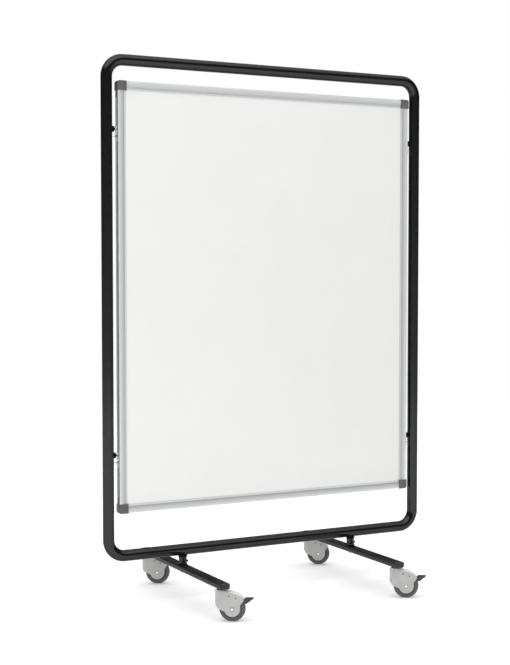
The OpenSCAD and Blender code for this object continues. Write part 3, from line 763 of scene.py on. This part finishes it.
def post_tube():
    low, high, rim = FOOT_TOP + BASE_H, HOOP_BASE - TUBE_R * 0.75, 0.6 * MM
    inner = POST_R - POST_WALL
    return lathe([(inner, low), (POST_R - rim, low), (POST_R - 0.3 * rim, low + 0.3 * rim),
                  (POST_R, low + rim), (POST_R, high), (inner, high)], closed=True)


def saddle():
    """The ring under the hoop: its rim follows the tube, so its top edge rises on both sides of it."""
    low, steps = HOOP_BASE - TUBE_R - SADDLE_H, 72
    rings = []
    for r, kind in ((POST_R, "low"), (SADDLE_R - 0.8 * MM, "low"), (SADDLE_R, "edge"), (SADDLE_R, "top"),
                    (SADDLE_R - 0.6 * MM, "rim"), (POST_R, "rim")):
        ring = []
        for k in range(steps):
            a = 2 * pi * k / steps
            x, y = r * cos(a), r * sin(a)
            tube = HOOP_BASE - sqrt(TUBE_R ** 2 - y * y)
            z = {"low": low, "edge": low + 0.8 * MM, "top": tube - 0.4 * MM, "rim": tube + 0.3 * MM}[kind]
            ring.append((x, y, z))
        rings.append(ring)
    return loft(rings, closed=True)


def post_base():
    """A flange on the foot, a neck that the ring sits on, and a spigot inside the post."""
    z, bore, top = FOOT_TOP, BOLT_R + 0.05 * MM, FOOT_TOP + BASE_H
    profile = [(bore, z), (BASE_R - 0.3 * MM, z), (BASE_R, z + 0.3 * MM)]
    profile += disc_edge(BASE_R, z + FLANGE_H, 0.9 * MM, True) + [(NECK_R, z + FLANGE_H), (NECK_R, top)]
    profile += [(SPIGOT_R, top), (SPIGOT_R, top + SPIGOT_L), (bore, top + SPIGOT_L)]
    return lathe(profile, closed=True)


def base_ring():
    return washer(NECK_R - 0.5 * MM, RING_R, FOOT_TOP + RING_LOW, FOOT_TOP + RING_HIGH, 0.6 * MM)


def hexagon(r, t):
    """How far a hexagon with corners at radius r reaches in the direction t."""
    return r * cos(pi / 6) / cos((t + pi / 6) % (pi / 3) - pi / 6)


def socket_head(r, length, socket_r, depth):
    """A screw head with rounded rim and a hexagonal socket sunk into its face, along +Z."""
    steps = 48
    turn = [2 * pi * k / steps for k in range(steps)]
    rings = [[(radius * cos(t), radius * sin(t), z) for t in turn]
             for radius, z in [(r / 2, 0), (r, 0)] + disc_edge(r, length, 0.9 * MM, True)]
    for z in (length, length - depth):
        rings.append([(hexagon(socket_r, t) * cos(t), hexagon(socket_r, t) * sin(t), z) for t in turn])
    return loft(rings)


def hex_head(r, low, high):
    """A bolt's hexagon head: six sides with the corners turned off below."""
    steps = 72
    turn = [2 * pi * k / steps for k in range(steps)]
    rings = []
    for z, limit in ((low, r * 0.84), (low + 0.6 * MM, r * 0.93), (low + 1.5 * MM, r), (high, r)):
        reach = [min(hexagon(r, t), limit) for t in turn]
        rings.append([(far * cos(t), far * sin(t), z) for far, t in zip(reach, turn)])
    return loft(rings)


def shank(inner, r, low, high, steps):
    """A plain rod, with a smaller ring of radius inner on each flat end."""
    return lathe([(inner, low), (r, low), (r, high), (inner, high)], steps)


SCREW_PLACES = [place @ at(0, 0, FOOT_TOP + SIDE_SCREW_Z) @ ALONG_X for place in POSTS]
piece("post_tubes", "frame", BLACK_COAT, [post_tube()], POSTS,
      ["left_post", "right_post"])
# Saddle rings and base flanges in near lightless black: partly black plastic, partly painted shade between
# post, hoop and foot.
piece("saddle_rings", "frame", BLACK_AND_PAINTED_SHADE, [saddle()], POSTS, ["post_saddles"])
piece("base_flanges", "frame", BLACK_AND_PAINTED_SHADE, [post_base()], POSTS, ["post_bases"])
piece("base_rings", "frame", RING_COAT, [base_ring()], POSTS)
screw_head = socket_head(SCREW_HEAD_R, SCREW_HEAD_L, SOCKET_R, SOCKET_DEPTH)
piece("grub_screws", "frame", BLACK_AND_PAINTED_SHADE,
      [placed(screw_head, at(0, 0, POST_R + 0.3 * MM)),
       shank(1 * MM, SCREW_R, SPIGOT_R + 0.2 * MM, POST_R + 0.7 * MM, 32)],
      SCREW_PLACES, ["post_side_screws"])
bolt_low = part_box("post_bolts")[0].z
piece("foot_bolts", "frame", ZINC,
      [hex_head(BOLT_HEAD_R, bolt_low, bolt_low + BOLT_HEAD_H),
       shank(2 * MM, BOLT_R, bolt_low + 6 * MM, FOOT_TOP + BASE_H + 10 * MM, 40)],
      POSTS, ["post_bolts"])
piece("bolt_washers", "frame", ZINC,
      [washer(BOLT_R + 0.4 * MM, WASHER_R, FOOT_UNDER - WASHER_T, FOOT_UNDER, 0.3 * MM)],
      POSTS, ["post_washers"])


# ---------- feet ----------

FOOT_R = 6 * MM
CAP_L = 14 * MM
CAP_PLAN_R = 13 * MM
CAP_UNDER_R = 8 * MM
# A fine groove where the moulded end meets the tube.
SEAM = 0.25 * MM


def foot_tube():
    outline = rounded_rectangle(FOOT_W, FOOT_H, FOOT_R, 8)
    return placed(prism(outline, -FOOT_TUBE_L / 2, FOOT_TUBE_L / 2), ALONG_Y)


def drawn_in(r, into):
    """How far a quarter round of radius r has drawn in, at a distance past its start."""
    return r - sqrt(max(0.0, r * r - max(0.0, into) ** 2))


def end_cap():
    """A moulded end: the tube's outline, drawn in along a quarter round from both sides and from below."""
    rings = []
    steps, round_start = 9, CAP_L - CAP_PLAN_R
    stations = [(0, SEAM), (SEAM, 0)]
    stations += [(round_start + CAP_PLAN_R * sin(radians(90 * i / steps)), 0) for i in range(steps + 1)]
    for d, gap in stations:
        side = drawn_in(CAP_PLAN_R, d - round_start) + gap
        under = drawn_in(CAP_UNDER_R, d - (CAP_L - CAP_UNDER_R)) + gap
        crown = 0.55 * under + 0.45 * gap
        w, h = FOOT_W - 2 * side, FOOT_H - under - crown
        outline = rounded_rectangle(w, h, min(FOOT_R, w / 2.2, h / 2.2), 8)
        rings.append([(x, y - (under - crown) / 2, FOOT_TUBE_L / 2 + d) for x, y in outline])
    return placed(loft(rings), ALONG_Y)


FOOT_PLACES = [at(sx * FOOT_X, HOOP_Y, foot_mid.z) for sx in (-1, 1)]
for side, place in zip(("left", "right"), FOOT_PLACES):
    piece(side + "_foot_tube", "frame", FOOT_COAT, [foot_tube()], [place],
          [side + "_foot"], edge=0.25 * MM)
piece("foot_ends", "frame", BLACK_PLASTIC, [end_cap()],
      [place @ mirror for place in FOOT_PLACES for mirror in (HERE, MIRROR_Y)], ["foot_end_caps"])
carried("foot_inserts", ZINC)


# ---------- swivel hardware on the feet ----------

COLLAR_BORE_R = 5.05 * MM
COLLAR_R = 15 * MM
COLLAR_T = 3 * MM
# The collars are near lightless black: partly black plastic, partly painted shade under the feet.
piece("stem_collars", "frame", BLACK_AND_PAINTED_SHADE,
      [washer(COLLAR_BORE_R, COLLAR_R, -COLLAR_T, 0, 0.7 * MM)], STEMS, ["caster_collars"])
carried("caster_stems", ZINC, 0.4 * MM)
carried("thrust_washers", NYLON)
carried("swivel_races", ZINC, 0.4 * MM)


# ---------- casters ----------

# Every caster shape is drawn in the caster's own frame, with X the way the wheel trails.
fork_top_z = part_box("front_left_fork")[1].z - HUB_Z
FORK_W = 36 * MM
FORK_T = 2 * MM
NOSE_R = 22 * MM
HOOD_R = 55 * MM
HOOD_X, HOOD_Z = -7.9 * MM, 1 * MM
HOOD_FALL = radians(13.6)
DISC_R = 27 * MM
SKIRT_X = -25.3 * MM
BACK_X = 27 * MM
BACK_Z = 13 * MM
BACK_SLOPE = tan(radians(52))
BELT_Z = 24 * MM
BELT_X = 10 * MM
TAIL_X = 39.2 * MM
ROOF_EDGE = 2.6 * MM
# Corners of the skirt's bottom line, from the nose to the axle's disc.
SLANT = [(-TRAIL - NOSE_R, 17 * MM), (-53 * MM, 5 * MM), (-44 * MM, -1 * MM), (SKIRT_X, -9.45 * MM)]
# The two rivets on each side plate; the first pair is also the pedal's pivot.
PIVOT_X, PIVOT_Z = 11.4 * MM, 36.5 * MM
DIMPLE_X, DIMPLE_Z = -11.3 * MM, 44 * MM
RIVET_L = 2 * MM
PIVOT_L = 6.4 * MM
AXLE_R = 4 * MM
AXLE_HEAD_R = 4.8 * MM
AXLE_SEAT_R = 6.4 * MM
WHEEL_R = HUB_Z
TYRE_W = 21 * MM
TYRE_BORE_R = 29 * MM
TYRE_SHOULDER_R = 6 * MM
HUB_R = 11 * MM
HUB_HALF_L = 15.4 * MM
HUB_BORE_R = 7.05 * MM
CORE_RIM_R = 29.2 * MM
RIBS = 10


def roof_height(x):
    """The hood's top line: flat over the stem, then a straight fall, then the round back."""
    meet_x = HOOD_X + HOOD_R * sin(HOOD_FALL)
    meet_z = HOOD_Z + HOOD_R * cos(HOOD_FALL)
    if x > meet_x:
        return HOOD_Z + sqrt(max(0.0, HOOD_R ** 2 - (x - HOOD_X) ** 2))
    return min(fork_top_z, meet_z + (meet_x - x) * tan(HOOD_FALL))


def skirt_height(x):
    """The side plates' bottom line: up the nose, along its slant, then round the axle's disc."""
    for (x0, z0), (x1, z1) in zip(SLANT, SLANT[1:]):
        if x < x1:
            return z0 + (z1 - z0) * max(0.0, x - x0) / (x1 - x0)
    return -sqrt(max(0.0, DISC_R ** 2 - min(x, DISC_R) ** 2))


def belt_height(x):
    """A level across the side plates that comes down to the tail's slanted edge and follows it to the end."""
    if x > BACK_X:
        return BACK_Z + (x - BACK_X) * BACK_SLOPE
    share = max(0.0, x - BELT_X) / (BACK_X - BELT_X)
    return BELT_Z + (BACK_Z - BELT_Z) * share


def plan_point(station, inset):
    """The fork seen from above, shrunk by inset.

    A station is ("side", x) or ("nose", share of the nose's arc).
    """
    kind, value = station
    half = FORK_W / 2 - inset
    if kind == "side":
        return value, half
    r = NOSE_R - inset
    a = asin(half / r) * value
    return -TRAIL - r * cos(a), r * sin(a)


def fork_shell():
    """The pressed fork as one skin: skirt, belt, rounded shoulder and roof, from nose to open back."""
    nose_end = -TRAIL - NOSE_R * cos(asin(FORK_W / 2 / NOSE_R))
    stations = [("nose", i / 8) for i in range(8)]
    stations += [("side", nose_end + (SKIRT_X - nose_end) * i / 8) for i in range(9)]
    stations += [("side", DISC_R * sin(radians(a))) for a in range(-60, 81, 10)]
    stations += [("side", BACK_X)]
    tail = [("side", BACK_X + (TAIL_X - BACK_X) * i / 5) for i in range(1, 6)]
    shoulder = [radians(a) for a in (0, 22.5, 45, 67.5, 90)]
    points, faces = [], []

    def column(station, sign, skirt):
        x0, _ = plan_point(station, 0)
        heights = [(0, belt_height(x0))]
        if skirt:
            low = skirt_height(x0)
            heights = [(0, low), (0, (low + belt_height(x0)) / 2), (0, belt_height(x0))]
        rise = min(ROOF_EDGE, max(0.3 * MM, roof_height(x0) - belt_height(x0)))
        for a in shoulder:
            inset = ROOF_EDGE * (1 - cos(a))
            x, _ = plan_point(station, inset)
            heights.append((inset, roof_height(x) - rise * (1 - sin(a))))
        made = []
        for inset, z in heights:
            x, y = plan_point(station, inset)
            points.append(Vector((x, sign * y, z)))
            made.append(len(points) - 1)
        return made

    def stitch(a, b):
        for i in range(min(len(a), len(b)) - 1):
            faces.append((a[-i - 1], b[-i - 1], b[-i - 2], a[-i - 2]))

    sides = {}
    for sign in (1, -1):
        near = [column(station, sign, True) for station in stations]
        far = [column(station, sign, False) for station in tail]
        for a, b in zip(near, near[1:]):
            stitch(a, b)
        for a, b in zip([near[-1][2:]] + far, far):
            stitch(a, b)
        sides[sign] = near + far
    across = 4
    previous = None
    for a, b in zip(sides[1], sides[-1]):
        row = [a[-1]]
        for k in range(1, across):
            points.append(points[a[-1]].lerp(points[b[-1]], k / across))
            row.append(len(points) - 1)
        row.append(b[-1])
        if previous:
            faces.extend((previous[k], previous[k + 1], row[k + 1], row[k]) for k in range(across))
        previous = row
    return points, faces


def fork(name):
    obj = piece(name + "_fork_shell", name + "_swivel", FORK_PAINT, [fork_shell()],
                [at_caster[name]], [name + "_fork"])
    wall = obj.modifiers.new("sheet", "SOLIDIFY")
    wall.thickness = FORK_T
    wall.offset = -1
    wall.use_even_offset = True
    soften(obj, 0.45 * MM)


def on_both_plates(shape, x, z):
    """A shape drawn along +Z, standing on the outside of each side plate."""
    seats = [at(x, sign * FORK_W / 2, z) @ turned("X", -90 * sign) for sign in (1, -1)]
    return [placed(shape, seat) for seat in seats]


def rivets(x, z, length):
    head = [(0.7 * MM, 0.75 * MM), (1.7 * MM, 0.62 * MM), (2.4 * MM, 0.3 * MM), (2.6 * MM, 0)]
    stem = [(2 * MM, 0), (2 * MM, -length), (0.7 * MM, -length)]
    return on_both_plates(lathe(head + stem, 32), x, z)


def axle():
    """The axle, riveted over into a domed head at each side."""
    half = FORK_W / 2
    rod = placed(shank(1 * MM, AXLE_R, -half, half, 48), ALONG_Y)
    rim, rise = 0.7 * MM, 0.9 * MM
    dome = [(AXLE_HEAD_R, 0.4 * MM), (AXLE_HEAD_R, rim)]
    dome += [(AXLE_HEAD_R * cos(radians(a)), rim + rise * sin(radians(a))) for a in (20, 40, 60, 78)]
    head = lathe([(3 * MM, 0.2 * MM)] + dome, 48)
    return [rod] + on_both_plates(head, 0, 0)


def axle_washers():
    bore, top = 3 * MM, 0.5 * MM
    rim = [(AXLE_SEAT_R, 0), (AXLE_SEAT_R, 0.35 * MM), (AXLE_SEAT_R - 0.2 * MM, top)]
    return on_both_plates(lathe([(bore, 0)] + rim + [(bore, top)], 48, True), 0, 0)


def wheel_ring(section, steps):
    """Turns half a section, mirrored about the wheel's middle, round the axle."""
    return placed(lathe(section + [(r, -y) for r, y in reversed(section)], steps, True), ALONG_Y)


def tyre():
    """A gently crowned tread with a mould line, round shoulders and a shallow side recess."""
    half, rim, shoulder = TYRE_W / 2, TYRE_BORE_R, TYRE_SHOULDER_R
    outer = []
    for i in range(9):
        a = radians(90 * i / 8)
        tread_r = WHEEL_R - 0.25 * MM - shoulder + shoulder * sin(a)
        outer.append((tread_r, half - shoulder + shoulder * cos(a)))
    side = [(rim, half - 1.5 * MM), (rim + 2 * MM, half - 1.5 * MM), (rim + 3 * MM, half - 0.4 * MM),
            (rim + 4.2 * MM, half), (WHEEL_R - shoulder - 0.4 * MM, half)]
    crown = [(WHEEL_R - 0.05 * MM, 1.6 * MM), (WHEEL_R - 0.03 * MM, 0.5 * MM), (WHEEL_R, 0.2 * MM)]
    return wheel_ring(side + outer[:-1] + [(WHEEL_R - 0.12 * MM, 3.2 * MM)] + crown, 112)


def wheel_core():
    """The moulded core: hub, dished web with ribs on both sides and a rim under the tyre."""
    hub, half = HUB_R, TYRE_W / 2 - 1.5 * MM
    section = [(HUB_BORE_R, HUB_HALF_L), (hub - 0.8 * MM, HUB_HALF_L), (hub, HUB_HALF_L - 0.8 * MM)]
    section += [(hub + 0.4 * MM, 4.2 * MM), (hub + 1.5 * MM, 3.5 * MM), (25 * MM, 3.5 * MM)]
    section += [(26.2 * MM, 4.4 * MM), (26.5 * MM, half - 0.4 * MM), (26.9 * MM, half), (CORE_RIM_R, half)]
    shapes = [wheel_ring(section, 96)]
    start, end, thick = hub - 1 * MM, 27 * MM, 0.8 * MM
    rib = [(start, -thick), (end, -thick), (end, thick), (start, thick)]
    for k in range(RIBS):
        for sign in (1, -1):
            foot = [(x, sign * 3 * MM, y) for x, y in rib]
            crest = [(x, sign * (half - 1.2 * MM), y * 0.7) for x, y in rib]
            shapes.append(placed(loft([foot, crest]), turned("Y", 360 / RIBS * k)))
    return shapes


for name in CASTERS:
    fork(name)
    place = [at_caster[name]]
    pivot_l = PIVOT_L if name in BRAKED else RIVET_L
    plate_rivets = rivets(PIVOT_X, PIVOT_Z, pivot_l) + rivets(DIMPLE_X, DIMPLE_Z, RIVET_L)
    piece(name + "_plate_rivets", name + "_swivel", DARK_STEEL, plate_rivets, place,
          [name + "_rivets"])
    piece(name + "_axle_pin", name + "_swivel", POLISHED, axle(), place, [name + "_axle"])
    # The washers are painted dark: painted shade round the bright axle head.
    piece(name + "_axle_washers", name + "_swivel", SHADED_WASHER_STEEL, axle_washers(), place)
    piece(name + "_tread", name + "_wheel", TYRE_RUBBER, [tyre()], place, [name + "_tyre"])
    piece(name + "_wheel_core", name + "_wheel", WHEEL_PLASTIC, wheel_core(), place,
          [name + "_core"])
    carried(name + "_bush", ZINC)

for name in BRAKED:
    carried(name + "_pedal", PEDAL_PLASTIC, 0.6 * MM)
    carried(name + "_shoe", SHOE_RUBBER, 0.3 * MM)


# ---------- floor, light and camera ----------

FLOOR_R = 7
FLOOR_GLOW = 0.2
WORLD_STRENGTH = 1.62
# How bright the booth is at each height over the horizon, in degrees.
WORLD_STOPS = [(-14, 0.85), (-10, 0.73), (-2, 0.26), (8, 0.06), (29, 0.04), (38, 0.45), (50, 0.95)]
CAMERA_PLACE = (-2.379, -4.3605, 1.1993)
CAMERA_PITCH = 2.79
CAMERA_YAW = 27.93
CAMERA_LENS = 73.35


def floor():
    bm = bmesh.new()
    bmesh.ops.create_circle(bm, cap_ends=True, segments=96, radius=FLOOR_R)
    mesh = bpy.data.meshes.new("floor")
    bm.to_mesh(mesh)
    bm.free()
    f = Finish("pale floor", 0.9, specular=0.1)
    cloud = f.ramp(f.noise(0.6, 2), 0.3, 0.7)
    f.colour(f.blend(cloud, (0.94, 0.94, 0.94), (0.96, 0.96, 0.96)))
    f.shader.inputs["Emission Color"].default_value = (1, 1, 1, 1)
    f.shader.inputs["Emission Strength"].default_value = FLOOR_GLOW
    mesh.materials.append(f.material)
    obj = bpy.data.objects.new("floor", mesh)
    bpy.context.scene.collection.objects.link(obj)


def studio_world():
    """A booth, bright overhead and below and dark round the horizon, which the camera sees as plain white."""
    world = bpy.data.worlds.new("studio")
    bpy.context.scene.world = world
    world.use_nodes = True
    nodes, links = world.node_tree.nodes, world.node_tree.links
    direction = nodes.new("ShaderNodeSeparateXYZ")
    links.new(nodes.new("ShaderNodeTexCoord").outputs["Generated"], direction.inputs[0])
    height = nodes.new("ShaderNodeMapRange")
    height.inputs["From Min"].default_value = -1
    links.new(direction.outputs["Z"], height.inputs["Value"])
    ramp = nodes.new("ShaderNodeValToRGB")
    ramp.color_ramp.interpolation = "EASE"
    links.new(height.outputs[0], ramp.inputs[0])
    steps = ramp.color_ramp.elements
    while len(steps) < len(WORLD_STOPS):
        steps.new(0.5)
    for step, (elevation, value) in zip(steps, WORLD_STOPS):
        step.position = (sin(radians(elevation)) + 1) / 2
        step.color = (value, value, value, 1)
    mix = nodes.new("ShaderNodeMix")
    mix.data_type = "RGBA"
    links.new(nodes.new("ShaderNodeLightPath").outputs["Is Camera Ray"], mix.inputs[0])
    links.new(ramp.outputs[0], mix.inputs[6])
    mix.inputs[7].default_value = (1 / WORLD_STRENGTH,) * 3 + (1,)
    background = nodes["Background"]
    background.inputs["Strength"].default_value = WORLD_STRENGTH
    links.new(mix.outputs[2], background.inputs["Color"])


def soft_light(name, place, size, watts, mirrored):
    """A soft box aimed at the board's middle. One that isn't mirrored adds light but no highlights."""
    data = bpy.data.lights.new(name, "AREA")
    data.shape = "RECTANGLE"
    data.size, data.size_y = size
    data.energy = watts
    obj = bpy.data.objects.new(name, data)
    obj.location = place
    obj.rotation_euler = (Vector((0, 0, 1)) - obj.location).to_track_quat("-Z", "Y").to_euler()
    obj.visible_glossy = mirrored
    bpy.context.scene.collection.objects.link(obj)


def camera():
    data = bpy.data.cameras.new("camera")
    data.sensor_width = 36
    data.lens = CAMERA_LENS
    data.clip_end = 200
    obj = bpy.data.objects.new("camera", data)
    obj.location = CAMERA_PLACE
    obj.rotation_euler = (radians(90 - CAMERA_PITCH), 0, radians(-CAMERA_YAW))
    bpy.context.scene.collection.objects.link(obj)
    bpy.context.scene.camera = obj


floor()
studio_world()
soft_light("overhead", (-1.0, -1.0, 4.6), (5, 4), 40, True)
soft_light("front fill", (-2.5, -6.5, 1.2), (5, 2), 92, False)
soft_light("left fill", (-6.0, 0.6, 1.4), (3, 2), 50, False)
camera()
bpy.context.scene.view_settings.view_transform = "Standard"
